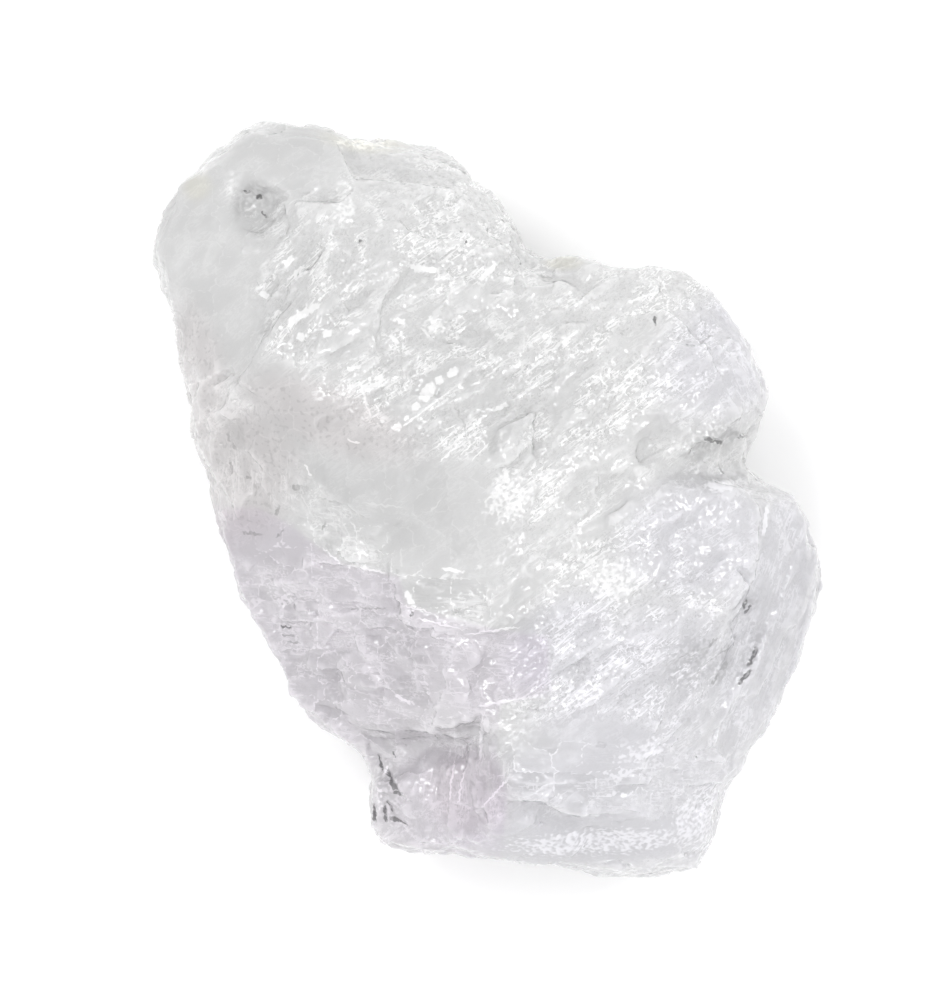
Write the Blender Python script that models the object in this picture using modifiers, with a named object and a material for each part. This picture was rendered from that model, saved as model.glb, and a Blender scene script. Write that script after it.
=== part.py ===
"""A rough lump of alum, lying on its flattest broken face with its broadest face up.

The lump is one natural piece. A sphere is drawn out to the lump's outline, its top is broken
into flat faces, ledges and valleys, and small cleavage blocks roughen it all over. Seen from
above, +Y runs along the lump's length. Lengths are in millimetres until the mesh is written.
"""

import itertools
import math

import bmesh
import bpy
import numpy as np

METRES = 0.001
CROWN = 25.4  # the height of the top face over the middle
SPHERE_SUBDIVISIONS = 7
GRAIN = 0.35  # the spacing of the mesh that the faces and blocks are broken in
TRIANGLES_KEPT = 9400
SEED = 41

# The outline seen from above, anticlockwise from the left-hand corner of the upper lobe,
# measured from the middle of the lump.
FOOT_AND_LEFT_SIDE = [
    (-26.7, 20.2), (-25.9, 17.4), (-24.6, 14.2), (-24.3, 11.4), (-23.4, 8.2), (-23.4, 5.0),
    (-22.2, 2.6), (-21.5, -1.6), (-20.4, -4.0), (-19.9, -6.6), (-18.6, -8.5), (-18.0, -10.4),
    (-16.4, -12.6), (-14.7, -16.8), (-13.4, -18.3), (-10.2, -19.4), (-8.8, -21.4), (-9.2, -25.3),
]
LOWER_END = [
    (-8.2, -27.1), (-5.0, -27.8), (-2.6, -27.8), (0.6, -28.5), (4.2, -29.0), (12.2, -30.2),
    (16.6, -29.3), (18.0, -28.2),
]
LOWER_RIGHT_LOBE = [
    (18.5, -26.2), (19.2, -23.4), (21.0, -20.0), (22.5, -17.0), (25.0, -11.8), (26.4, -8.0),
    (26.8, -5.6), (26.2, -3.2), (25.5, -1.0), (24.5, 0.2), (23.0, 1.1), (21.7, 1.9),
]
UPPER_RIGHT_LOBE = [
    (20.7, 3.0), (20.8, 4.0), (21.5, 5.9), (22.1, 9.1), (21.2, 12.2), (19.8, 14.6), (18.2, 16.6),
    (15.8, 18.0), (13.0, 18.5), (12.2, 18.2), (9.8, 18.3), (4.9, 19.6),
]
UPPER_LOBE = [
    (3.0, 20.1), (2.5, 21.9), (1.4, 23.7), (0.1, 25.2), (-1.4, 26.4), (-3.2, 27.5), (-5.4, 28.3),
    (-8.2, 28.8), (-10.8, 28.8), (-12.6, 29.7), (-15.0, 30.0), (-17.8, 30.2), (-19.8, 29.7),
    (-20.7, 28.3), (-22.5, 26.7), (-24.6, 24.8), (-26.2, 22.1),
]
OUTLINE = np.array(
    FOOT_AND_LEFT_SIDE + LOWER_END + LOWER_RIGHT_LOBE + UPPER_RIGHT_LOBE + UPPER_LOBE
)

# How square the lump's upright section is: 2 is an ellipse, and more is nearer a box.
TOP_FULLNESS = 3.8
BASE_FULLNESS = 3.0

# The height of the widest level, which rises and falls round the lump.
RIM_HEIGHT = 11.0
RIM_WAVES = [(2, 2.2, 0.6), (3, 1.3, 2.1), (5, 0.8, 4.0)]  # count, height, phase

# The large flat faces of the top: a point on the face, its height, the fall per millimetre,
# and the direction that it falls in, in degrees from +X.
TOP_FACES = [
    ((-2.0, 2.0), CROWN, 0.07, 20),  # crown
    ((-9.0, -3.0), 25.5, 0.62, 222),  # long left face, over the lilac blocks
    ((-15.0, 19.0), 24.5, 0.34, 158),  # smooth face of the upper lobe
    ((-9.0, 23.0), 24.0, 0.60, 84),  # far end of the upper lobe
    ((3.0, 14.0), 24.5, 0.42, 62),  # back of the upper right lobe
    ((13.0, 9.0), 24.0, 0.36, 12),  # striped face of the upper right lobe
    ((16.0, -7.0), 24.5, 0.62, -22),  # striped side of the lower right lobe
    ((8.0, -21.0), 23.5, 0.55, 262),  # lower end
]

# The underside's faces, which rise outwards from the face that the lump lies on.
BASE_FACES = [
    ((-15.0, 4.0), 0.0, 0.42, 190),
    ((-9.0, 19.0), 0.0, 0.38, 120),
    ((9.0, 13.0), 0.0, 0.36, 45),
    ((17.0, -5.0), 0.0, 0.48, -10),
    ((6.0, -20.0), 0.0, 0.34, 275),
]
GROUND_CUT = 1.6  # how far the underside reaches below the ground before it is cut flat

# Valleys in the top between two points, with a width and a depth: between the lobes, beside
# the foot, and the pit in the upper lobe.
VALLEYS = [
    ((4.5, 21.0), (-2.0, 13.0), 2.6, 2.2),
    ((22.5, 3.0), (10.0, 5.2), 2.2, 3.4),
    ((-10.5, -20.5), (-1.5, -18.5), 1.8, 3.6),
    ((20.6, -10.0), (17.5, -16.5), 1.4, 2.0),
    ((-18.6, 23.8), (-18.0, 22.8), 1.3, 1.8),
    ((9.0, 10.5), (13.5, 13.0), 0.9, 1.2),
]

# Ledges on the top: the points of the edge with the high side on its left, the height of the
# step, and how far behind the edge the raised part fades out.
LEDGES = [
    ([(-20.5, 6.5), (-14.5, 4.5), (-13.5, 0.0), (-7.9, -3.5), (-6.8, -7.4), (-5.6, -9.0),
      (-2.6, -9.5), (1.4, -9.6), (5.4, -7.2), (7.0, -2.5)], 2.4, 16.0),
    ([(-9.5, -18.4), (-0.6, -16.4), (-0.2, -22.4), (0.4, -27.5)], 1.6, 5.0),
    ([(0.0, -22.8), (4.5, -23.6), (13.0, -24.8), (17.5, -23.4)], 1.9, 6.0),
    ([(-7.2, 4.8), (1.4, 7.8), (0.6, 3.2), (-1.6, 1.6)], 1.1, 4.0),
    ([(-9.6, 8.2), (-2.2, 10.6), (1.0, 13.4)], 1.0, 3.0),
    ([(-16.5, 15.5), (-12.2, 18.0), (-10.4, 25.0)], 1.0, 5.0),
    ([(7.5, -2.0), (9.5, 0.0), (16.5, 4.5), (21.0, 5.5)], 1.3, 5.0),
    ([(4.0, -17.0), (11.5, -13.5), (18.5, -10.5), (20.2, -5.0), (23.5, 0.5)], 1.2, 6.0),
    ([(9.0, 8.4), (12.4, 11.0), (13.2, 17.0)], 0.9, 3.0),
    ([(-17.5, -8.5), (-12.0, -9.8), (-6.5, -11.6), (2.0, -12.6)], 0.8, 2.5),
]
LEDGE_EDGE = 0.7  # the run of a ledge's broken edge
LEDGE_TAPER = 2.0  # the length over which a ledge dies out at each end

# Flat broken faces all over the lump: one for each corner of a coarser sphere. Each planes
# the highest of a bulge off, by up to these depths on the top and at the outline.
BREAK_SUBDIVISIONS = 3
BREAK_REACH = 7.5
BREAK_DEPTH = 2.0
BREAK_DEPTH_AT_RIM = 0.5
BREAK_LEAN = 0.35  # how far a face leans away from the surface that it planes

# Layers of cleavage blocks: the middle and the two half-lengths of the patch that has them,
# the block's size along its three axes, the turn of the patch and of those axes about Z in
# degrees, the height of the steps, the tilt of the faces and the layer's number. The large
# blocks are all over the lump and are broken too; the fine ones are left whole.
LARGE_BLOCKS = ((0.0, 0.0), (90.0, 90.0), (9.5, 7.5, 6.0), 28, 1.5, 0.24, 1)
FINE_BLOCKS = [
    ((-1.0, 8.5), (19.0, 9.0), (9.0, 2.4, 3.4), 36, 0.55, 0.12, 2),
    ((12.0, -9.0), (16.0, 9.0), (8.0, 2.2, 3.2), 40, 0.50, 0.12, 3),
    ((-12.0, -8.0), (10.0, 15.0), (4.0, 3.2, 3.4), 12, 0.55, 0.16, 4),
]
BLOCK_JOIN = 0.14  # how much of a block its edge takes to step to the next
SIDE_SHARE = 0.4  # how much of the roughness reaches the outline
RESTING_CALM = 3.0  # the height above the ground under which the roughness dies out

RANDOM_ROWS = np.random.default_rng(SEED).random((4099, 7))
CELL_STEPS = np.array([73, 1013, 2711])
LAYER_STEP = 311


def clear_scene():
    for old in list(bpy.data.objects):
        bpy.data.objects.remove(old, do_unlink=True)


def unit_vector(degrees):
    angle = math.radians(degrees)
    return np.array([math.cos(angle), math.sin(angle)])


def smooth_step(share):
    share = np.clip(share, 0, 1)
    return share * share * (3 - 2 * share)


def rim_radius(angle):
    """How far the outline lies from the middle, in each of these directions."""
    corner_angles = np.arctan2(OUTLINE[:, 1], OUTLINE[:, 0])
    order = np.argsort(corner_angles)
    corners = OUTLINE[order]
    after = np.searchsorted(corner_angles[order], angle) % len(corners)
    start, end = corners[after - 1], corners[after]
    run = end - start
    across = start[:, 0] * run[:, 1] - start[:, 1] * run[:, 0]
    return across / (np.cos(angle) * run[:, 1] - np.sin(angle) * run[:, 0])


def rim_height(angle):
    waves = sum(height * np.sin(count * angle + phase) for count, height, phase in RIM_WAVES)
    return RIM_HEIGHT + waves


def face_height(plan, place, height, fall, direction):
    """The height above each plan point of one flat face."""
    return height - fall * ((plan - np.array(place)) @ unit_vector(direction))


def to_segment(plan, start, end):
    """Each point's distance from a segment, how far along it lies, and whether it is left."""
    start, end = np.array(start), np.array(end)
    run = end - start
    along = np.clip((plan - start) @ run / (run @ run), 0, 1)
    away = plan - start - along[:, None] * run
    left = np.where(run[0] * away[:, 1] - run[1] * away[:, 0] >= 0, 1.0, -1.0)
    return np.linalg.norm(away, axis=1), along * np.linalg.norm(run), left


def valley_depth(plan, start, end, width, depth):
    distance, _, _ = to_segment(plan, start, end)
    return depth * np.exp(-((distance / width) ** 2))


def ledge_height(plan, line, height, reach):
    """A step along a broken line that is highest at its edge and fades out behind it."""
    nearest = np.full(len(plan), np.inf)
    travelled = np.zeros(len(plan))
    side = np.ones(len(plan))
    length = 0.0
    for start, end in zip(line, line[1:]):
        distance, along, left = to_segment(plan, start, end)
        closer = distance < nearest
        nearest = np.where(closer, distance, nearest)
        travelled = np.where(closer, length + along, travelled)
        side = np.where(closer, left, side)
        length += math.dist(start, end)
    behind = nearest * side
    rise = smooth_step(behind / LEDGE_EDGE + 0.5)
    fade = np.clip(1 - behind / reach, 0, 1)
    taper = smooth_step(travelled / LEDGE_TAPER) * smooth_step((length - travelled) / LEDGE_TAPER)
    return height * rise * fade * taper


def top_height(plan):
    height = np.min([face_height(plan, *face) for face in TOP_FACES], axis=0)
    for ledge in LEDGES:
        height = height + ledge_height(plan, *ledge)
    for valley in VALLEYS:
        height = height - valley_depth(plan, *valley)
    return height


def base_height(plan):
    faces = [face_height(plan, place, level, -rise, way) for place, level, rise, way in BASE_FACES]
    return np.maximum(np.max(faces, axis=0), 0) - GROUND_CUT


def drawn_out(directions):
    """The sphere's points moved out to the lump's outline and up or down to its faces."""
    angle = np.arctan2(directions[:, 1], directions[:, 0])
    outwards = np.hypot(directions[:, 0], directions[:, 1])
    upwards = np.abs(directions[:, 2])
    on_top = directions[:, 2] > 0
    fullness = np.where(on_top, TOP_FULLNESS, BASE_FULLNESS)
    scale = (outwards**fullness + upwards**fullness) ** (-1 / fullness)
    reach = rim_radius(angle) * outwards * scale
    plan = np.stack([reach * np.cos(angle), reach * np.sin(angle)], axis=1)
    rim = rim_height(angle)
    surface = np.where(on_top, np.maximum(top_height(plan), rim + 1), base_height(plan))
    level = rim + (surface - rim) * upwards * scale
    return np.column_stack([plan, level])


def block_heights(points, size, turn, step, tilt, layer):
    """The height of a layer of cleavage blocks, each with its own flat tilted face."""
    across = unit_vector(turn)
    axes = np.array([[across[0], -across[1], 0], [across[1], across[0], 0], [0, 0, 1]])
    scaled = points @ axes / np.array(size)
    cells = np.floor(scaled).astype(int)
    nearest = np.full(len(points), np.inf)
    second = np.full(len(points), np.inf)
    height = np.zeros(len(points))
    second_height = np.zeros(len(points))
    for offset in itertools.product((-1, 0, 1), repeat=3):
        cell = cells + np.array(offset)
        row = RANDOM_ROWS[(cell @ CELL_STEPS + LAYER_STEP * layer) % len(RANDOM_ROWS)]
        away = scaled - cell - row[:, :3]
        distance = np.linalg.norm(away, axis=1)
        lean = (away * np.array(size) * (row[:, 4:7] - 0.5)).sum(axis=1)
        face = step * (row[:, 3] - 0.5) + tilt * lean
        first = distance < nearest
        next_one = ~first & (distance < second)
        second = np.where(first, nearest, np.where(next_one, distance, second))
        second_height = np.where(first, height, np.where(next_one, face, second_height))
        nearest = np.where(first, distance, nearest)
        height = np.where(first, face, height)
    share = smooth_step(0.5 + 0.5 * (second - nearest) / BLOCK_JOIN)
    return share * height + (1 - share) * second_height


def mesh_points(mesh, attribute="co"):
    values = np.empty(len(mesh.vertices) * 3, np.float32)
    mesh.vertices.foreach_get(attribute, values)
    return values.reshape(-1, 3).astype(float)


def set_mesh_points(mesh, points):
    mesh.vertices.foreach_set("co", points.astype(np.float32).ravel())
    mesh.update()


def sphere_mesh():
    mesh = bpy.data.meshes.new("alum_stone")
    sphere = bmesh.new()
    bmesh.ops.create_icosphere(sphere, subdivisions=SPHERE_SUBDIVISIONS, radius=1)
    sphere.to_mesh(mesh)
    sphere.free()
    return mesh


def with_modifier(mesh, kind, **settings):
    """Replaces a mesh by what a modifier makes of it."""
    blank = bpy.data.objects.new("blank", mesh)
    bpy.context.scene.collection.objects.link(blank)
    modifier = blank.modifiers.new(kind, kind)
    for name, value in settings.items():
        setattr(modifier, name, value)
    graph = bpy.context.evaluated_depsgraph_get()
    made = bpy.data.meshes.new_from_object(blank.evaluated_get(graph))
    bpy.data.objects.remove(blank, do_unlink=True)
    bpy.data.meshes.remove(mesh)
    return made


def break_faces(mesh):
    """Planes the bulges of the surface off to flat faces that lean a little at random."""
    coarse = bmesh.new()
    bmesh.ops.create_icosphere(coarse, subdivisions=BREAK_SUBDIVISIONS, radius=1)
    ways = np.array([corner.co for corner in coarse.verts])
    coarse.free()
    points, normals = mesh_points(mesh), mesh_points(mesh, "normal")
    directions = points - np.array([0, 0, RIM_HEIGHT])
    directions /= np.linalg.norm(directions, axis=1)[:, None]
    calm = near_ground(points)
    for number, way in enumerate(ways):
        row = RANDOM_ROWS[number]
        centre = points[np.argmax(directions @ (way + 0.1 * (row[4:7] - 0.5)))]
        near = np.linalg.norm(points - centre, axis=1) < BREAK_REACH
        facing = normals[near].mean(axis=0)
        facing = facing / np.linalg.norm(facing) + BREAK_LEAN * (row[:3] - 0.5)
        facing /= np.linalg.norm(facing)
        depth = BREAK_DEPTH if abs(facing[2]) > 0.6 else BREAK_DEPTH_AT_RIM
        level = (points[near] @ facing).max() - depth * row[3]
        above = np.where(near, np.maximum(points @ facing - level, 0), 0)
        points = points - (above * calm)[:, None] * facing
    set_mesh_points(mesh, points)


def patch_share(points, middle, half_lengths, turn):
    """1 inside an elliptical patch of the plan, falling smoothly to 0 at its edge."""
    plan = points[:, :2] - np.array(middle)
    lengthwise = plan @ unit_vector(turn) / half_lengths[0]
    crosswise = plan @ unit_vector(turn + 90) / half_lengths[1]
    return smooth_step(2.2 * (1 - np.hypot(lengthwise, crosswise)))


def near_ground(points):
    """0 where the underside is cut off, rising to 1 a little above the ground."""
    return smooth_step((points[:, 2] + GROUND_CUT) / (RESTING_CALM + GROUND_CUT))


def roughen(mesh, layers):
    """Moves the surface out and in by layers of blocks, but less at the outline and base."""
    points, normals = mesh_points(mesh), mesh_points(mesh, "normal")
    height = np.zeros(len(points))
    for middle, half_lengths, size, turn, step, tilt, layer in layers:
        share = patch_share(points, middle, half_lengths, turn)
        height += share * block_heights(points, size, turn, step, tilt, layer)
    height *= SIDE_SHARE + (1 - SIDE_SHARE) * smooth_step(2 * np.abs(normals[:, 2]))
    set_mesh_points(mesh, points + normals * (height * near_ground(points))[:, None])


def lump_mesh():
    """The lump's form, then its large blocks, its broken faces and its fine blocks."""
    mesh = sphere_mesh()
    set_mesh_points(mesh, drawn_out(mesh_points(mesh)))
    mesh = with_modifier(mesh, "REMESH", mode="VOXEL", voxel_size=GRAIN)
    roughen(mesh, [LARGE_BLOCKS])
    break_faces(mesh)
    roughen(mesh, FINE_BLOCKS)
    mesh = with_modifier(mesh, "REMESH", mode="VOXEL", voxel_size=GRAIN)
    mesh = with_modifier(mesh, "DECIMATE", ratio=TRIANGLES_KEPT / (2 * len(mesh.polygons)))
    set_mesh_points(mesh, mesh_points(mesh) * METRES)
    return mesh


def cut_resting_face(mesh):
    """Cuts the underside off flat at the ground and puts the origin in the middle there."""
    lump = bmesh.new()
    lump.from_mesh(mesh)
    everything = lump.verts[:] + lump.edges[:] + lump.faces[:]
    bmesh.ops.bisect_plane(
        lump, geom=everything, plane_co=(0, 0, 0), plane_no=(0, 0, 1), clear_inner=True
    )
    rim = [edge for edge in lump.edges if edge.is_boundary]
    bmesh.ops.triangle_fill(lump, edges=rim, use_beauty=True)
    bmesh.ops.recalc_face_normals(lump, faces=lump.faces)
    bmesh.ops.triangulate(lump, faces=lump.faces)
    lump.to_mesh(mesh)
    lump.free()
    points = mesh_points(mesh)
    middle = (points.min(axis=0) + points.max(axis=0)) / 2
    middle[2] = 0
    set_mesh_points(mesh, points - middle)


def alum_material():
    material = bpy.data.materials.new("alum")
    material.use_nodes = True
    shader = material.node_tree.nodes["Principled BSDF"]
    shader.inputs["Base Color"].default_value = (0.84, 0.83, 0.85, 1)
    shader.inputs["Roughness"].default_value = 0.25
    shader.inputs["Metallic"].default_value = 0
    shader.inputs["IOR"].default_value = 1.456
    shader.inputs["Transmission Weight"].default_value = 0.9
    return material


def main():
    clear_scene()
    collection = bpy.data.collections.new("alum stone")
    bpy.context.scene.collection.children.link(collection)
    stone_mesh = lump_mesh()
    stone_mesh.name = "alum_stone"
    cut_resting_face(stone_mesh)
    stone = bpy.data.objects.new("alum_stone", stone_mesh)
    stone.data.materials.append(alum_material())
    collection.objects.link(stone)


main()
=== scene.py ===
"""A rough alum stone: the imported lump, carved finer and given its clear, frosty crystal.

Places on the stone's broad face are given as the photograph's pixels, 12.5 to the millimetre,
and turned into metres in the stone's own frame. Heights and sizes are in millimetres.
"""

import itertools
import math

import bmesh
import bpy
import numpy as np
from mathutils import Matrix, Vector


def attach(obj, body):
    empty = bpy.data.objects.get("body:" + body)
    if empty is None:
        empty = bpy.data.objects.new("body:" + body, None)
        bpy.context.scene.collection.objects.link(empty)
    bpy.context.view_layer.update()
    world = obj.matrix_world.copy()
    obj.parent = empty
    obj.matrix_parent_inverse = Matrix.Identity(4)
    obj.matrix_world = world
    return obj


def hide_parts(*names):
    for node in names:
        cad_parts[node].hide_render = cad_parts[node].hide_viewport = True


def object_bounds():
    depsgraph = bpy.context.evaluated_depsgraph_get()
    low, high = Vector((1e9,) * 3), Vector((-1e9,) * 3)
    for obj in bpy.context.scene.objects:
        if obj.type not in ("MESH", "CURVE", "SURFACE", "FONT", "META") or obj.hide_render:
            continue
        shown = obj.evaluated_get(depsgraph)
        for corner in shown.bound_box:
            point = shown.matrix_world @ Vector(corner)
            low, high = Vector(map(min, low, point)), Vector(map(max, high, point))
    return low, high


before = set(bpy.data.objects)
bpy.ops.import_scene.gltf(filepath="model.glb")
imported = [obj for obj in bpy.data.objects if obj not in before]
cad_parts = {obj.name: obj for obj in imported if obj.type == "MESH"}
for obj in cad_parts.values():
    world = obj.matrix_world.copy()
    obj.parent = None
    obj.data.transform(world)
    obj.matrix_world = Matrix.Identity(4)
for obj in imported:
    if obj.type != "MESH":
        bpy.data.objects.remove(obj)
cad_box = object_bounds()

MM = 0.001
PIXEL = 0.08  # millimetres
MIDDLE_PIXEL = np.array([487.0, 502.0])
GRAIN = 0.23  # the spacing of the mesh that the fine relief is carved in
TRIANGLES = 190000
RANDOM = np.random.default_rng(7).random((8209, 7))


def place(px, py):
    """A pixel of the photograph as millimetres on the stone."""
    return np.array([px - MIDDLE_PIXEL[0], MIDDLE_PIXEL[1] - py]) * PIXEL


def unit(degrees):
    angle = math.radians(degrees)
    return np.array([math.cos(angle), math.sin(angle)])


def smooth(share):
    share = np.clip(share, 0, 1)
    return share * share * (3 - 2 * share)


# Each patch is a list of ellipses: middle in pixels, half-lengths in pixels, turn in degrees.
PATCHES = {
    "stripes_50": [(322, 292, 80, 52, 50), (340, 225, 40, 22, 60)],
    "stripes_33": [(430, 400, 105, 75, 33), (470, 455, 55, 35, 40), (400, 300, 60, 40, 35)],
    "stripes_38": [
        (620, 360, 150, 90, 35), (600, 480, 130, 60, 35), (620, 660, 135, 95, 38),
        (520, 560, 60, 50, 38),
    ],
    "edge_upper": [(735, 360, 75, 34, -62)],
    "edge_lower": [(780, 620, 165, 42, 69)],
    "rows": [(370, 600, 130, 46, -3), (590, 768, 120, 34, -4)],
    "blocks": [(410, 690, 110, 75, 0), (330, 560, 70, 50, 0), (300, 660, 50, 60, 0)],
    "uprights": [(250, 470, 60, 50, 0), (460, 790, 45, 45, 0)],
}
STRIPE_TURNS = {
    "stripes_50": 49, "stripes_33": 33, "stripes_38": 37, "edge_upper": -60, "edge_lower": 69,
    "rows": -3, "blocks": -6, "uprights": 86,
}
# Smooth grey faces, with little relief and no frost.
CALM = [
    (290, 165, 60, 35, 10), (210, 255, 45, 75, 20), (225, 328, 46, 50, 0), (280, 392, 56, 25, -35),
    (370, 470, 95, 40, -30), (440, 520, 75, 65, -40), (300, 440, 60, 30, -10), (580, 740, 70, 30, 0),
    (600, 835, 110, 26, 4), (270, 535, 45, 30, 0),
]


def patch(plan, ellipses, softness=0.35):
    """1 inside these ellipses and 0 outside, with soft edges."""
    share = np.zeros(len(plan))
    for px, py, long_half, short_half, turn in ellipses:
        away = plan - place(px, py)
        along = away @ unit(turn) / (long_half * PIXEL)
        across = away @ unit(turn + 90) / (short_half * PIXEL)
        share = np.maximum(share, smooth((1 - np.hypot(along, across)) / softness + 0.5))
    return share


def inside(plan, corners, width=0.5):
    """1 inside the outline through these pixels and 0 outside, with an edge of this width."""
    corners = np.array([place(px, py) for px, py in corners])
    distance = np.full(len(plan), np.inf)
    within = np.zeros(len(plan), bool)
    for start, end in zip(corners, np.roll(corners, -1, axis=0)):
        side = end - start
        share = np.clip((plan - start) @ side / (side @ side), 0, 1)
        distance = np.minimum(distance, np.linalg.norm(plan - start - share[:, None] * side, axis=1))
        crossed = (start[1] > plan[:, 1]) != (end[1] > plan[:, 1])
        reach = start[0] + side[0] * (plan[:, 1] - start[1]) / (side[1] if side[1] else 1e-9)
        within ^= crossed & (plan[:, 0] < reach)
    return smooth(0.5 + np.where(within, distance, -distance) / width)


def cells(points, size, step, tilt, layer, join=0.16):
    """Cleavage blocks: each cell is a flat tilted face at its own height."""
    count = len(size)
    scaled = points[:, :count] / np.array(size)
    base = np.floor(scaled).astype(int)
    mixing = np.array([73, 1013, 2711])[:count]
    nearest = np.full(len(points), np.inf)
    second = np.full(len(points), np.inf)
    height = np.zeros(len(points))
    second_height = np.zeros(len(points))
    for offset in itertools.product((-1, 0, 1), repeat=count):
        cell = base + np.array(offset)
        row = RANDOM[(cell @ mixing + 389 * layer) % len(RANDOM)]
        away = scaled - cell - row[:, :count]
        distance = np.linalg.norm(away, axis=1)
        lean = (away * np.array(size) * (row[:, 4:4 + count] - 0.5)).sum(axis=1)
        face = step * (row[:, 3] - 0.5) + tilt * lean
        first = distance < nearest
        other = ~first & (distance < second)
        second = np.where(first, nearest, np.where(other, distance, second))
        second_height = np.where(first, height, np.where(other, face, second_height))
        nearest = np.where(first, distance, nearest)
        height = np.where(first, face, height)
    share = smooth(0.5 + 0.5 * (second - nearest) / join)
    return share * height + (1 - share) * second_height


def snapped(plan, turn=35, size=(3.4, 1.9), layer=77):
    """Each point moved to the middle of the crystal grain that it lies in."""
    along, across = unit(turn), unit(turn + 90)
    scaled = np.column_stack([plan @ along, plan @ across]) / np.array(size)
    base = np.floor(scaled).astype(int)
    nearest = np.full(len(plan), np.inf)
    middle = scaled.copy()
    for offset in itertools.product((-1, 0, 1), repeat=2):
        cell = base + np.array(offset)
        spot = cell + RANDOM[(cell @ np.array([73, 1013]) + 389 * layer) % len(RANDOM), :2]
        distance = np.linalg.norm(scaled - spot, axis=1)
        closer = distance < nearest
        nearest = np.where(closer, distance, nearest)
        middle[closer] = spot[closer]
    middle = middle * np.array(size)
    return middle[:, :1] * along + middle[:, 1:] * across


def turned(points, turn):
    """The points in axes that lie along and across this direction of the plan."""
    along, across = unit(turn), unit(turn + 90)
    return np.column_stack([points[:, :2] @ along, points[:, :2] @ across, points[:, 2]])


def mesh_points(mesh, attribute="co"):
    values = np.empty(len(mesh.vertices) * 3, np.float32)
    mesh.vertices.foreach_get(attribute, values)
    return values.reshape(-1, 3).astype(float)


def set_points(mesh, points):
    mesh.vertices.foreach_set("co", points.astype(np.float32).ravel())
    mesh.update()


def with_modifier(mesh, kind, **settings):
    blank = bpy.data.objects.new("blank", mesh)
    bpy.context.scene.collection.objects.link(blank)
    modifier = blank.modifiers.new(kind, kind)
    for name, value in settings.items():
        setattr(modifier, name, value)
    graph = bpy.context.evaluated_depsgraph_get()
    made = bpy.data.meshes.new_from_object(blank.evaluated_get(graph))
    bpy.data.objects.remove(blank, do_unlink=True)
    bpy.data.meshes.remove(mesh)
    return made


def start_mesh(node):
    """The CAD lump as one joined mesh in millimetres."""
    lump = bmesh.new()
    lump.from_mesh(node.data)
    bmesh.ops.remove_doubles(lump, verts=lump.verts, dist=1e-7)
    mesh = bpy.data.meshes.new("stone")
    lump.to_mesh(mesh)
    lump.free()
    mesh.materials.clear()
    set_points(mesh, mesh_points(mesh) / MM)
    return mesh


def relief(points, normals):
    """How far the fine relief moves each point along its normal, in millimetres."""
    plan = points[:, :2]
    top = smooth((normals[:, 2] + 0.1) / 0.5)
    grains = 0.6 * snapped(plan) + 0.4 * plan
    calm = patch(grains, CALM) * top
    height = np.zeros(len(points))
    striped = np.zeros(len(points))
    for number, (name, ellipses) in enumerate(PATCHES.items()):
        share = patch(grains, ellipses) * top
        local = turned(points, STRIPE_TURNS[name])
        if name == "blocks":
            layer = cells(local, (2.3, 1.9), 0.42, 0.20, 20, 0.10)
            layer += cells(local, (4.8, 0.9), 0.10, 0.10, 21)
        elif name.startswith("edge"):
            layer = cells(local, (9.0, 0.8), 0.12, 0.10, 30 + number)
        else:
            layer = cells(local, (3.6, 0.75), 0.18, 0.18, 40 + number)
            layer += cells(local, (6.5, 1.7), 0.24, 0.14, 50 + number)
        height += share * layer
        striped = np.maximum(striped, share)
    rest = (1 - striped) * (1 - calm)
    height += rest * cells(turned(points, 30), (1.9, 1.1, 1.3), 0.26, 0.26, 1)
    height += (1 - 0.7 * calm) * cells(turned(points, 15), (4.0, 3.2, 3.0), 0.36, 0.12, 2)
    height *= 1 - 0.6 * calm
    for ellipses, rise in ((BEADS, 0.14), (WHITE_MARKS, 0.08), (DARK_MARKS, -0.20)):
        height += rise * patch(plan, ellipses, 0.9) * top
    return height


def fine_mesh(node):
    mesh = start_mesh(node)
    mesh = with_modifier(mesh, "REMESH", mode="VOXEL", voxel_size=GRAIN)
    mesh = with_modifier(mesh, "SMOOTH", factor=0.5, iterations=2)
    points, normals = mesh_points(mesh), mesh_points(mesh, "normal")
    above = smooth((points[:, 2] - 0.2) / 1.5)
    moved = points + normals * (relief(points, normals) * above)[:, None]
    low, high = (np.array(corner) / MM for corner in cad_box)
    moved = np.clip(moved, low, high)
    moved[:, 2] = np.where((points[:, 2] < 0.2) & (normals[:, 2] < -0.7), 0, moved[:, 2])
    set_points(mesh, moved)
    mesh = with_modifier(mesh, "DECIMATE", ratio=TRIANGLES / (2 * len(mesh.polygons)))
    set_points(mesh, np.clip(mesh_points(mesh), low, high) * MM)
    return mesh


# What the crystal's colour does by place: lilac at the lower left, bluish at the lower right,
# warm along the left side, cloudy and white in clusters (partly milky, partly painted highlights),
# a little darker in broad parts as painted shade, and dark in a pit and a few open cracks as
# painted shade in these hollows.
LILAC_OUTLINE = [
    (180, 505), (262, 508), (290, 522), (326, 549), (345, 562), (401, 575), (408, 602), (440, 612),
    (492, 625), (546, 634), (548, 690), (500, 698), (496, 745), (506, 790), (500, 880), (340, 880),
    (330, 760), (180, 700),
]
LILAC = [(340, 640, 150, 120, 40), (270, 560, 60, 70, 60), (450, 800, 75, 60, 0), (500, 660, 70, 50, 30)]
BLUE = [
    (620, 800, 170, 80, 5), (740, 350, 60, 90, -60), (780, 600, 60, 190, -20), (700, 540, 80, 60, 0),
    (640, 690, 120, 80, 38), (560, 640, 60, 40, 38),
]
WARM = [(240, 470, 70, 60, 60), (200, 380, 30, 70, 10), (470, 790, 40, 40, 0), (330, 420, 90, 30, -20)]
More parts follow.
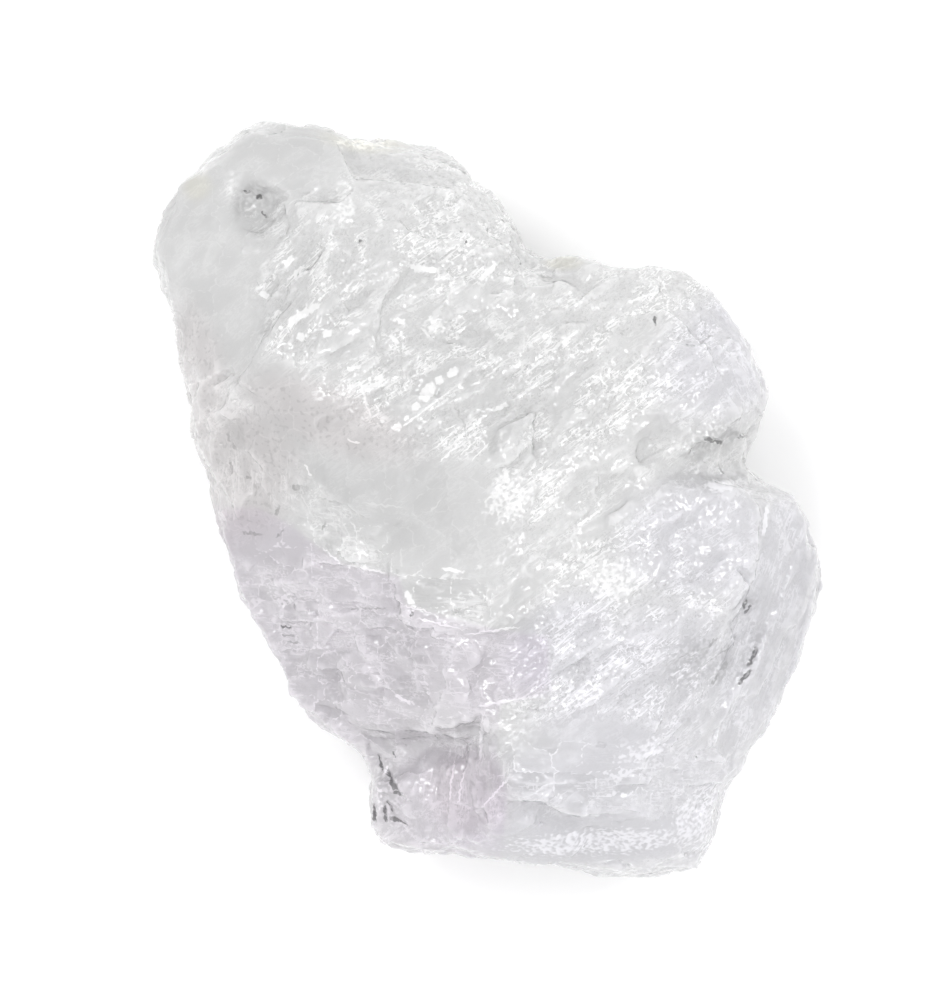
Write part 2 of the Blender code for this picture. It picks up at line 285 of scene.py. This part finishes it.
# Paler parts; under the foot's ledge the pale patch is painted light that lifts the shade there.
PALE = [
    (510, 490, 60, 50, 0), (612, 580, 80, 60, 10), (345, 212, 34, 50, 10), (600, 470, 140, 60, 35),
    (620, 360, 150, 80, 35), (470, 200, 90, 70, 0), (600, 838, 120, 40, 3), (690, 820, 50, 60, 0),
    (365, 146, 60, 22, 0), (690, 540, 70, 50, 20), (560, 810, 50, 30, -20), (385, 150, 60, 30, 0),
    (635, 655, 110, 60, 40), (600, 750, 90, 26, 0), (440, 742, 60, 12, 8), (385, 755, 24, 14, -30), (735, 455, 30, 20, 0),
]
# Cloudy white clusters: partly milky patches, partly painted highlights.
CLOUDS = [
    (510, 500, 26, 20, 20), (508, 478, 16, 10, 20), (612, 578, 30, 22, 10), (347, 214, 12, 22, 5),
    (716, 487, 17, 7, -10), (600, 838, 100, 14, 3), (433, 331, 16, 11, 20), (365, 146, 30, 8, 0),
    (478, 566, 5, 4, 0), (455, 569, 11, 3, -8), (410, 595, 4, 5, 0), (690, 820, 20, 26, 0), (425, 273, 16, 5, -8), (640, 745, 30, 10, 20),
]
# The pit and a few open cracks, painted darker: painted shade in these hollows.
DARK = [(258, 205, 17, 20, 0), (389, 790, 13, 36, 5), (715, 437, 36, 14, 20), (745, 655, 34, 7, 62),
        (747, 603, 13, 6, 62), (690, 660, 36, 30, 40), (330, 545, 8, 8, 0)]
# Broad parts painted a little darker: painted shade.
DIM = [
    (370, 470, 120, 60, -30), (240, 470, 60, 70, 60), (430, 400, 90, 60, 33), (320, 300, 60, 40, 50),
    (790, 620, 30, 70, -20), (560, 400, 50, 50, 0), (520, 620, 40, 30, 0),
]
YELLOW = [(365, 143, 40, 12, -5), (200, 190, 14, 14, 0), (563, 264, 18, 8, 0)]
FROSTED = [
    (316, 294, 92, 60, 50), (430, 400, 110, 85, 33), (510, 490, 60, 60, 0), (612, 580, 80, 60, 10),
    (620, 360, 150, 90, 35), (620, 660, 135, 95, 38), (470, 230, 110, 80, 0), (700, 820, 50, 40, 0),
]


# Strips inside the frosted parts with little frost.
SPARSE = [
    (425, 400, 50, 15, 42), (482, 395, 27, 13, 8), (503, 440, 12, 30, -25), (335, 305, 40, 5, 42),
    (352, 338, 42, 5, 38), (470, 300, 22, 12, 10), (560, 400, 12, 40, -10), (640, 430, 50, 12, 38),
    (600, 520, 40, 9, 36), (655, 560, 16, 10, 30), (520, 590, 34, 12, 30), (640, 340, 30, 9, 30),
]

# Single marks that the eye finds first, as ellipses: middle, half-lengths and turn as above.
# White marks: painted glints and highlights on lines, edges and ledges, with some white frost lines among them.
WHITE_MARKS = [
    (304, 278, 7, 5, 30), (293, 266, 6, 3, 45), (304, 321, 13, 4, 32), (318, 313, 6, 3, 40),
    (305, 341, 4, 4, 60), (331, 338, 5, 3.5, 10), (268, 299, 3, 5, 60), (281, 318, 5, 2, 50),
    (396, 343, 6, 2.2, -50), (403, 326, 3.5, 3, 0), (425, 273, 14, 2.5, -8), (488, 276, 12, 2.5, 42),
    (358, 371, 6, 2.2, 10), (376, 388, 9, 1.8, 20), (371, 393, 6, 1.6, 28), (500, 409, 8, 2.2, 27),
    (357, 443, 7, 1.0, -12), (312, 471, 7, 0.9, -60), (368, 402, 19, 1.0, -72),
    (334, 554, 11, 0.9, -40), (368, 567, 20, 0.9, -12), (411, 596, 8, 2.6, -64),
    (419, 606, 14, 0.9, -14), (440, 620, 22, 0.8, -14), (492, 627, 27, 0.8, 8), (452, 568, 10, 1.6, -10),
    (452, 452, 16, 0.7, 44), (470, 447, 14, 0.7, 44), (480, 453, 12, 0.7, 46), (446, 441, 13, 0.7, 40),
    (404, 695, 9, 1.8, -30), (481, 731, 25, 1.3, 88), (485, 720, 3, 7, 0),
    (502, 697, 24, 1.3, 10), (494, 788, 18, 1.0, 50), (380, 795, 2.4, 16, 4), (386, 768, 1.4, 6, -20),
    (452, 776, 20, 0.8, 84), (461, 782, 18, 0.8, 80), (587, 517, 17, 1.3, 33), (649, 748, 10, 2.6, 15),
    (761, 520, 15, 2.2, 82), (716, 486, 13, 4, -8), (640, 300, 16, 1.4, 20), (560, 345, 20, 1.2, 35),
]
# Faint white lines along facet edges: painted highlights.
FAINT_MARKS = [
    (574, 538, 17, 1.0, -78), (583, 562, 12, 0.9, -55), (600, 512, 22, 0.9, 34), (690, 505, 20, 0.9, 60),
    (385, 505, 20, 0.8, -6), (403, 556, 9, 0.8, -88), (372, 548, 12, 0.9, -60), (437, 505, 8, 0.8, 50),
    (395, 645, 14, 0.8, -50), (432, 655, 13, 0.8, -60), (447, 642, 12, 0.8, 80), (418, 668, 12, 0.8, 0),
    (388, 672, 14, 0.8, -25), (452, 684, 16, 0.8, 12), (468, 655, 12, 0.9, -70), (410, 632, 18, 0.8, -6),
    (350, 605, 18, 0.7, -4), (300, 600, 16, 0.7, 4), (336, 520, 14, 0.8, -70), (350, 530, 12, 0.8, -66),
    (310, 505, 14, 0.8, -60), (295, 495, 12, 0.8, -30), (365, 690, 16, 0.8, -12), (350, 665, 14, 0.8, 20),
]
# Raised beads, painted white as highlights.
BEADS = [
    (399, 429, 5, 3.2, 33), (408, 420, 2.5, 2, 33), (417, 409, 4.5, 3.3, 33), (429, 395, 10, 5.5, 52),
    (440, 383, 4.2, 3.4, 30), (453, 375, 6, 3.8, 40), (425, 413, 36, 0.9, 37), (466, 434, 25, 0.9, 42),
]
# Grey marks: grey lines, and darker block faces where the grey is painted shade.
GREY_MARKS = [
    (363, 605, 18, 0.9, 0), (307, 614, 6, 1.2, 0), (346, 650, 9, 1.2, 10), (428, 690, 14, 0.9, -60),
    (376, 640, 8, 9, 0), (422, 650, 11, 9, -10), (405, 684, 12, 11, 30), (409, 719, 13, 6, 10),
    (377, 728, 22, 7, -12), (487, 771, 9, 14, 20), (694, 649, 15, 7, 40), (716, 675, 8, 4, 48),
    (724, 661, 8, 4.5, 58), (683, 718, 5, 4, 0), (500, 440, 7, 18, -25), (528, 452, 14, 4, 35),
    (399, 570, 3.5, 1.4, 82), (598, 739, 5, 3, 0), (305, 490, 6, 4, 0), (240, 436, 9, 14, 10),
]
DUSKY_MARKS = [
    (290, 634, 6, 1.0, 0), (295, 641, 7, 0.9, -5), (327, 525, 1.4, 4, -10), (283, 533, 5, 1.2, 45),
    (233, 438, 5, 1.6, -80), (238, 447, 4, 1.5, -60), (235, 468, 6, 1.3, -85), (252, 478, 2.5, 1.5, 0),
    (281, 510, 5, 1.6, 70), (302, 488, 6, 3, 0), (255, 533, 10, 1.4, -5), (365, 606, 22, 0.8, 0),
    (694, 649, 14, 2.2, 42), (706, 640, 9, 1.8, 40), (722, 662, 9, 2.4, 58), (712, 676, 7, 1.8, 50),
]
# Dark marks, sunk a little into the relief: small dark specks, and strokes in cracks, the pit and the foot, whose
# dark is painted shade in these hollows.
DARK_MARKS = [
    (413, 611, 2.6, 1.2, 60), (288, 626, 5, 1.2, -12),
    (390, 773, 9, 1.6, -68), (395, 784, 8, 3.0, -62), (398, 790, 5, 2.0, -20), (386, 811, 9, 1.5, -84),
    (375, 811, 9, 1.9, -85), (382, 763, 10, 1.2, -72), (395, 817, 6, 2.4, -15), (404, 820, 5, 1.1, -30),
    (391, 804, 6, 0.9, -60), (395, 753, 3, 0.8, -70),
    (749, 655, 10, 2.4, 66), (741, 675, 10, 2.2, 48), (741, 603, 5, 1.7, 70), (744, 608, 5, 1.5, 58), (461, 236, 1.4, 1.2, 0),
    (466, 246, 1.0, 1.0, 0), (363, 247, 1.6, 1.4, 0), (693, 754, 1.2, 1.0, 0),
    (709, 441, 11, 1.6, -12), (741, 437, 6, 1.4, 10), (652, 324, 1.3, 5, 0),
    (262, 201, 3, 2, 20), (267, 219, 3.5, 1.2, -60), (250, 196, 3, 1, 0),
]


def neighbours_mean(mesh, values):
    """Each vertex's mean of this value over the vertices that it shares an edge with."""
    ends = np.empty(len(mesh.edges) * 2, np.int32)
    mesh.edges.foreach_get("vertices", ends)
    ends = ends.reshape(-1, 2)
    total = np.zeros_like(values)
    count = np.zeros(len(values))
    for one, other in ((0, 1), (1, 0)):
        np.add.at(total, ends[:, one], values[ends[:, other]])
        np.add.at(count, ends[:, one], 1)
    return total / (count[:, None] if values.ndim == 2 else count)


def write_attribute(mesh, name, values, domain="POINT"):
    kind, field = ("FLOAT_VECTOR", "vector") if values.ndim == 2 else ("FLOAT", "value")
    attribute = mesh.attributes.new(name, kind, domain)
    attribute.data.foreach_set(field, values.astype(np.float32).ravel())


def face_middles(mesh):
    values = np.empty(len(mesh.polygons) * 3, np.float32)
    mesh.polygons.foreach_get("center", values)
    return values.reshape(-1, 3).astype(float)


def write_marks(mesh, kinds):
    """Each face keeps the mark nearest to it: middle and kind, then half-lengths and turn."""
    plan = face_middles(mesh)[:, :2] / MM
    reach = 0.25  # how far beyond a mark, in millimetres, a face may lie and still hold its edge
    nearest = np.full(len(plan), np.inf)
    middle, size = np.zeros((len(plan), 3)), np.ones((len(plan), 3))
    for kind, ellipses in kinds.items():
        for px, py, long_half, short_half, turn in ellipses:
            away = plan - place(px, py)
            along = away @ unit(turn) / (long_half * PIXEL + reach)
            across = away @ unit(turn + 90) / (short_half * PIXEL + reach)
            closer = np.hypot(along, across) < nearest
            nearest[closer] = np.hypot(along, across)[closer]
            middle[closer] = *(place(px, py) * MM), kind
            size[closer] = long_half * PIXEL * MM, short_half * PIXEL * MM, -math.radians(turn)
    write_attribute(mesh, "mark_middle", middle, "FACE")
    write_attribute(mesh, "mark_size", size, "FACE")


def paint_masks(mesh):
    """Writes where each tint, the frost and the raised edges lie, where light and shade are painted (dimmer
    parts, light under the foot's ledge, highlights on the raised edges, shade on the steep sides), and how the
    grain is turned.
    """
    points, normals = mesh_points(mesh) / MM, mesh_points(mesh, "normal")
    plan = points[:, :2]
    top = smooth(normals[:, 2] / 0.3)
    calm = patch(plan, CALM, 0.5) * top
    frost = np.maximum(0.5 * (1 - calm), patch(plan, FROSTED, 0.8) * (1 - 0.8 * calm))
    bulge = -((neighbours_mean(mesh, points) - points) * normals).sum(axis=1)
    bulge = (0.5 * bulge + 0.5 * neighbours_mean(mesh, bulge)) * (1 - 0.8 * calm)
    lilac = inside(plan, LILAC_OUTLINE) * (0.45 + 0.55 * patch(plan, LILAC, 0.7))
    masks = {
        "hues": (lilac, patch(plan, BLUE, 0.8), patch(plan, WARM, 0.8)),
        "tones": (patch(plan, PALE, 0.9) * top, patch(plan, CLOUDS, 1.1) * top,
                  patch(plan, DARK, 0.9) * top),
        "glints": (patch(plan, YELLOW, 0.9) * top, np.maximum(patch(plan, DIM, 0.9), 0.65 * lilac),
                   np.maximum(0.14, frost * (1 - 0.75 * patch(plan, SPARSE, 0.8)))),
        "zones": (calm, patch(plan, PATCHES["blocks"] + PATCHES["rows"], 0.6) * top, top),
        "forms": (np.clip(bulge / 0.05, -1, 1), smooth((0.55 - np.abs(normals[:, 2])) / 0.35),
                  np.zeros(len(plan))),
    }
    for name, values in masks.items():
        write_attribute(mesh, name, np.column_stack(values))
    middles = snapped(face_middles(mesh)[:, :2] / MM)
    turns = np.full(len(middles), 35.0)
    best = np.full(len(middles), 0.25)
    for name, ellipses in PATCHES.items():
        share = patch(middles, ellipses)
        turns = np.where(share > best, STRIPE_TURNS[name], turns)
        best = np.maximum(best, share)
    write_attribute(mesh, "turn", -np.radians(turns), "FACE")
    write_marks(mesh, {
        1: WHITE_MARKS + BEADS, 0.4: FAINT_MARKS, -0.2: GREY_MARKS, -0.5: DUSKY_MARKS, -1: DARK_MARKS,
    })


stone = bpy.data.objects.new("stone", fine_mesh(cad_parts["alum_stone"]))
bpy.context.scene.collection.objects.link(stone)
stone.data.shade_smooth()
stone.data.set_sharp_from_angle(angle=math.radians(32))
paint_masks(stone.data)


def nodes_of(material):
    material.use_nodes = True
    tree = material.node_tree
    return tree, tree.nodes["Principled BSDF"], tree.nodes["Material Output"]


class Maker:
    """Makes and joins shader nodes. An input is a number, a colour or another node's output."""

    def __init__(self, tree):
        self.tree = tree

    def node(self, kind, inputs=(), **settings):
        made = self.tree.nodes.new(kind)
        for name, value in settings.items():
            setattr(made, name, value)
        for slot, value in dict(inputs).items():
            if isinstance(value, bpy.types.NodeSocket):
                self.tree.links.new(value, made.inputs[slot])
            else:
                made.inputs[slot].default_value = value
        return made

    def masks(self, name):
        """The three masks that this attribute holds."""
        vector = self.node("ShaderNodeAttribute", attribute_name=name).outputs["Vector"]
        return tuple(self.node("ShaderNodeSeparateXYZ", {0: vector}).outputs)

    def math(self, operation, first, second=0.0, clamp=False):
        made = self.node("ShaderNodeMath", {0: first, 1: second}, operation=operation)
        made.use_clamp = clamp
        return made.outputs[0]

    def between(self, value, low, high):
        """0 where the value is at low, 1 where it is at high, smoothly between."""
        made = self.node("ShaderNodeMapRange", {0: value, 1: low, 2: high, 3: 0.0, 4: 1.0})
        made.interpolation_type = "SMOOTHSTEP"
        return made.outputs[0]

    def band(self, value, half, fade):
        """1 where the value is within this of zero, fading to 0 a little further out."""
        return self.between(self.math("ABSOLUTE", value), fade, half)

    def blocks(self, vector, size, feature, randomness=0.8):
        """Squarish cells of this size in millimetres."""
        scaled = self.node("ShaderNodeMapping", {"Vector": vector}, vector_type="TEXTURE")
        scaled.inputs["Scale"].default_value = [part * MM for part in size]
        return self.node("ShaderNodeTexVoronoi", {"Vector": scaled.outputs[0], "Scale": 1.0,
                         "Randomness": randomness}, voronoi_dimensions="2D", feature=feature,
                         distance="CHEBYCHEV")

    def marks(self, vector, edge=0.6):
        """1 inside the mark that the face keeps and 0 outside, and the kind of mark."""
        middle_x, middle_y, kind = self.masks("mark_middle")
        long_half, short_half, turn = self.masks("mark_size")
        middle = self.node("ShaderNodeCombineXYZ", {0: middle_x, 1: middle_y}).outputs[0]
        size = self.node("ShaderNodeCombineXYZ", {0: long_half, 1: short_half, 2: 1.0}).outputs[0]
        away = self.node("ShaderNodeVectorMath", {0: vector, 1: middle}, operation="SUBTRACT").outputs[0]
        away = self.node("ShaderNodeVectorRotate", {"Vector": away, "Angle": turn},
                         rotation_type="Z_AXIS").outputs[0]
        away = self.node("ShaderNodeVectorMath", {0: away, 1: size}, operation="DIVIDE").outputs[0]
        away = self.node("ShaderNodeVectorMath", {0: away, 1: away}, operation="MULTIPLY").outputs[0]
        reach = self.node("ShaderNodeVectorMath", {0: away}, operation="LENGTH").outputs["Value"]
        return self.between(reach, 1 + edge / 2, 1 - edge / 2), kind

    def blend(self, share, first, second, kind="MIX"):
        made = self.node("ShaderNodeMix", data_type="RGBA", blend_type=kind)
        for slot, value in ((0, share), (6, first), (7, second)):
            if isinstance(value, bpy.types.NodeSocket):
                self.tree.links.new(value, made.inputs[slot])
            else:
                made.inputs[slot].default_value = value
        return made.outputs[2]

    def noise(self, vector, size, detail=3.0, roughness=0.55, distortion=0.0):
        """Noise whose lumps have this size in millimetres."""
        scaled = self.node("ShaderNodeMapping", {"Vector": vector}, vector_type="TEXTURE")
        scaled.inputs["Scale"].default_value = [part * MM for part in size]
        made = self.node("ShaderNodeTexNoise", {
            "Vector": scaled.outputs[0], "Scale": 1.0, "Detail": detail,
            "Roughness": roughness, "Distortion": distortion,
        })
        return made.outputs["Fac"]


def grey(level):
    return (level, level, level, 1)


alum = bpy.data.materials.new("alum")
tree, shader, output = nodes_of(alum)
make = Maker(tree)
position = make.node("ShaderNodeTexCoord").outputs["Object"]
turn = make.node("ShaderNodeAttribute", attribute_name="turn").outputs["Fac"]
grain = make.node("ShaderNodeVectorRotate", {"Vector": position, "Angle": turn},
                  rotation_type="Z_AXIS").outputs[0]
lilac, blue, warm = make.masks("hues")
pale, cloud, pit_shade = make.masks("tones")
yellow, dim_shade, frost = make.masks("glints")
calm, blocky, top = make.masks("zones")
bulge, steep_shade, _ = make.masks("forms")

# A small shift of place makes every line and edge below uneven.
jitter = make.node("ShaderNodeTexNoise", {"Vector": position, "Scale": 3000.0, "Detail": 0.0})
flecks = make.node("ShaderNodeSeparateXYZ", {0: jitter.outputs["Color"]}).outputs[0]
jitter = make.node("ShaderNodeVectorMath", {0: jitter.outputs["Color"], 1: (0.5, 0.5, 0.5)},
                   operation="SUBTRACT").outputs[0]
uneven, uneven_grain = (
    make.node("ShaderNodeVectorMath", {0: jitter, 1: (shift, shift, shift), 2: start},
              operation="MULTIPLY_ADD").outputs[0]
    for shift, start in ((0.0003, position), (0.0004, grain))
)

# White flakes inside thin white outlines, streaks along the grain and flecks, partly white frost
# and partly painted glints, with painted shade beside them as on an embossed edge.
drifts = make.noise(grain, (2.6, 1.5, 1.5), 0.0)
drift = make.between(drifts, 0.42, 0.60)
flakes = make.noise(uneven_grain, (0.60, 0.28, 0.42), 1.0, 0.5)
flake = make.between(flakes, 0.70, 0.73)
outline = make.band(make.math("SUBTRACT", flakes, 0.59), 0.016, 0.034)
# Painted shade in a band beside the white outlines.
beside_shade = make.band(make.math("SUBTRACT", flakes, 0.53), 0.014, 0.034)
streaks = make.noise(grain, (1.3, 0.15, 0.3), 0.0)
streak = make.between(streaks, 0.60, 0.64)
fleck = make.between(flecks, 0.68, 0.76)
shards = make.blocks(uneven_grain, (1.05, 0.36, 1.0), "F1", 1.0)
shard = make.between(shards.outputs["Color"], 0.80, 0.84)
crack = make.band(make.math("SUBTRACT", shards.outputs["Distance"], 0.36), 0.025, 0.070)
crack = make.math("MULTIPLY", crack, make.between(flecks, 0.48, 0.60))
shard = make.math("MAXIMUM", crack, make.math("MULTIPLY", shard, make.between(streaks, 0.50, 0.56)))
white_and_glint = make.math("MAXIMUM", make.math("MAXIMUM", flake, outline), make.math("MAXIMUM", streak, fleck))
white_and_glint = make.math("MAXIMUM", white_and_glint, shard)
white_and_glint = make.math("MULTIPLY", white_and_glint, make.math("MAXIMUM", drift, 0.22))
white_and_glint = make.math("MULTIPLY", white_and_glint, frost)
# Raised crests painted whiter: a painted highlight along the ridges.
ridge_glint = make.math("MULTIPLY", make.between(bulge, 0.1, 0.8), 0.45)
white_and_glint = make.math("MAXIMUM", white_and_glint, ridge_glint)
# Torn white texture inside the clouds: milky patches and painted highlights.
torn = make.math("ADD", make.math("MULTIPLY", flakes, 1.6), make.math("MULTIPLY", flecks, 1.6))
torn = make.between(make.math("ADD", torn, cloud), 2.05, 2.95)
torn = make.math("MULTIPLY", torn, make.between(cloud, 0.0, 0.4))
white_and_glint = make.math("MAXIMUM", white_and_glint, torn)

# Square blocks with light edges, clear at the lower left and faint in the smooth faces: painted
# highlights along the joints and on some faces, and painted shade on others.
blocky = make.math("MAXIMUM", blocky, make.math("MULTIPLY", calm, 0.3))
nearest, second = (make.blocks(uneven, (2.6, 1.9, 1.0), feature) for feature in ("F1", "F2"))
gap = make.math("SUBTRACT", second.outputs["Distance"], nearest.outputs["Distance"])
joint = make.math("MULTIPLY", make.between(gap, 0.055, 0.02), make.between(flecks, 0.40, 0.56))
joint = make.math("MAXIMUM", joint, make.math("MULTIPLY", make.between(nearest.outputs["Color"], 0.7, 0.9), 0.22))
white_and_glint = make.math("MAXIMUM", white_and_glint, make.math("MULTIPLY", joint, make.math("MULTIPLY", blocky, 0.75)))
block = make.math("MULTIPLY", make.between(nearest.outputs["Color"], 0.45, 0.25), blocky)
# Painted shade beside the white lines and on the darker blocks.
shade = make.math("MAXIMUM", make.math("MULTIPLY", beside_shade, frost), make.math("MULTIPLY", block, 0.9))
speck = make.math("MULTIPLY", make.between(flecks, 0.38, 0.30), warm)
# The steep sides are painted darker: painted shade at the rim.
shade = make.math("MAXIMUM", shade, steep_shade)

# The listed marks, from 1, which is white, to -1, which is dark.
# White marks add painted highlights and glints; dark marks add painted shade in hollows, with dark specks.
mark, kind = make.marks(uneven)
mark = make.math("MULTIPLY", mark, top)
white_and_glint = make.math("MAXIMUM", white_and_glint, make.math("MULTIPLY", mark, make.math("MAXIMUM", kind, 0.0)))
dark = make.math("MULTIPLY", mark, make.math("MULTIPLY", kind, -1.0, True))

tone = make.blend(make.between(drifts, 0.35, 0.65), grey(0.665), grey(0.70))
# A paler tone in the pale parts, painted light under the foot's ledge.
tone = make.blend(pale, tone, grey(0.705))
# Painted shade: beside the white lines, on darker blocks and on the steep sides.
tone = make.blend(shade, tone, grey(0.57))
tone = make.blend(make.math("MULTIPLY", speck, 0.4), tone, grey(0.42))
# White frost with painted highlights and glints.
tone = make.blend(white_and_glint, tone, grey(1.0))
# Painted shade in the pit and the open cracks.
tone = make.blend(make.math("MULTIPLY", pit_shade, make.between(flecks, 0.35, 0.65)), tone, grey(0.56))
# The dark marks, broken up: painted shade in hollows, and dark specks.
dark_breakup = make.math("ADD", 0.5, make.math("MULTIPLY", make.between(flecks, 0.30, 0.50), 0.5))
tone = make.blend(make.math("MULTIPLY", dark, dark_breakup), tone, grey(0.20))
# The first tint darkens the dim parts as painted shade; the others are the crystal's own colour.
for share, tint in ((dim_shade, (0.925, 0.925, 0.925)), (lilac, (0.95, 0.91, 0.965)),
                    (blue, (0.965, 0.958, 1.0)), (warm, (0.98, 0.95, 0.952)),
                    (yellow, (1.0, 0.99, 0.92))):
    tone = make.blend(share, tone, (*tint, 1), "MULTIPLY")
tree.links.new(tone, shader.inputs["Base Color"])

# The same shift tilts the surface a little, more where it is frosted.
tilt = make.math("ADD", make.math("MULTIPLY", frost, 0.65), 0.05)
tilt = make.node("ShaderNodeVectorMath", {0: jitter, "Scale": tilt}, operation="SCALE").outputs[0]
facing = make.node("ShaderNodeNewGeometry").outputs["Normal"]
facing = make.node("ShaderNodeVectorMath", {0: facing, 1: tilt}, operation="ADD").outputs[0]
facing = make.node("ShaderNodeVectorMath", {0: facing}, operation="NORMALIZE").outputs[0]
tree.links.new(facing, shader.inputs["Normal"])
tree.links.new(facing, shader.inputs["Coat Normal"])
gloss = make.math("SUBTRACT", 1.0, make.math("MULTIPLY", calm, 0.85))
tree.links.new(gloss, shader.inputs["Coat Weight"])
tree.links.new(make.math("ADD", make.math("MULTIPLY", calm, 0.2), 0.3), shader.inputs["Roughness"])
shader.inputs["IOR"].default_value = 1.456
shader.inputs["Transmission Weight"].default_value = 0.35
shader.subsurface_method = "BURLEY"
shader.inputs["Subsurface Weight"].default_value = 0.7
shader.inputs["Subsurface Radius"].default_value = (1, 1, 1)
shader.inputs["Subsurface Scale"].default_value = 0.002
shader.inputs["Coat Roughness"].default_value = 0.06
shader.inputs["Coat IOR"].default_value = 1.5
absorption = make.node("ShaderNodeVolumeAbsorption", {"Color": (0.86, 0.85, 0.92, 1), "Density": 8.0})
tree.links.new(absorption.outputs[0], output.inputs["Volume"])
stone.data.materials.append(alum)

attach(stone, "root")
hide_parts("alum_stone")


def add_floor():
    mesh = bpy.data.meshes.new("floor")
    floor_mesh = bmesh.new()
    bmesh.ops.create_grid(floor_mesh, x_segments=1, y_segments=1, size=1.5)
    floor_mesh.to_mesh(mesh)
    floor_mesh.free()
    floor = bpy.data.objects.new("floor", mesh)
    floor.location = (0, 0, -0.0002)
    bpy.context.scene.collection.objects.link(floor)
    material = bpy.data.materials.new("floor")
    _, paint, _ = nodes_of(material)
    paint.inputs["Base Color"].default_value = (0.98, 0.98, 0.98, 1)
    paint.inputs["Roughness"].default_value = 0.9
    paint.inputs["Specular IOR Level"].default_value = 0.1
    mesh.materials.append(material)


def add_light(name, position, size, radiance):
    """A square soft light of this side in metres that faces the stone."""
    lamp = bpy.data.lights.new(name, "AREA")
    lamp.shape = "SQUARE"
    lamp.size = size
    lamp.energy = radiance * size * size * math.pi
    light = bpy.data.objects.new(name, lamp)
    light.location = position
    towards = np.array([0, 0, 0.012]) - np.array(position)
    light.rotation_euler = Vector(towards).to_track_quat("-Z", "Y").to_euler()
    bpy.context.scene.collection.objects.link(light)


def add_camera():
    camera = bpy.data.cameras.new("camera")
    camera.sensor_width = 36
    camera.lens = 250
    middle = place(465, 497)
    height = camera.lens / 36 * 994 * PIXEL + 11
    eye = bpy.data.objects.new("camera", camera)
    eye.location = (middle[0] * MM, middle[1] * MM, height * MM)
    bpy.context.scene.collection.objects.link(eye)
    bpy.context.scene.camera = eye


def add_world(strength):
    world = bpy.data.worlds.new("studio")
    world.use_nodes = True
    world.node_tree.nodes["Background"].inputs["Color"].default_value = (1, 1, 1, 1)
    world.node_tree.nodes["Background"].inputs["Strength"].default_value = strength
    world.cycles.sampling_method = "NONE"
    bpy.context.scene.world = world


add_floor()
add_world(1.1)
for number in range(3):
    turn, rise = math.radians(120 * number + 20), math.radians((50, 58, 66)[number])
    spot = (math.cos(turn) * math.cos(rise), math.sin(turn) * math.cos(rise), math.sin(rise))
    add_light(f"softbox_{number}", tuple(0.6 * part for part in spot), 0.14, 8)
add_camera()
scene = bpy.context.scene
scene.view_settings.view_transform = "Standard"
scene.view_settings.look = "None"
scene.cycles.use_light_tree = False
scene.cycles.max_bounces = 3
scene.cycles.transmission_bounces = 3
scene.cycles.diffuse_bounces = 2
scene.cycles.glossy_bounces = 2
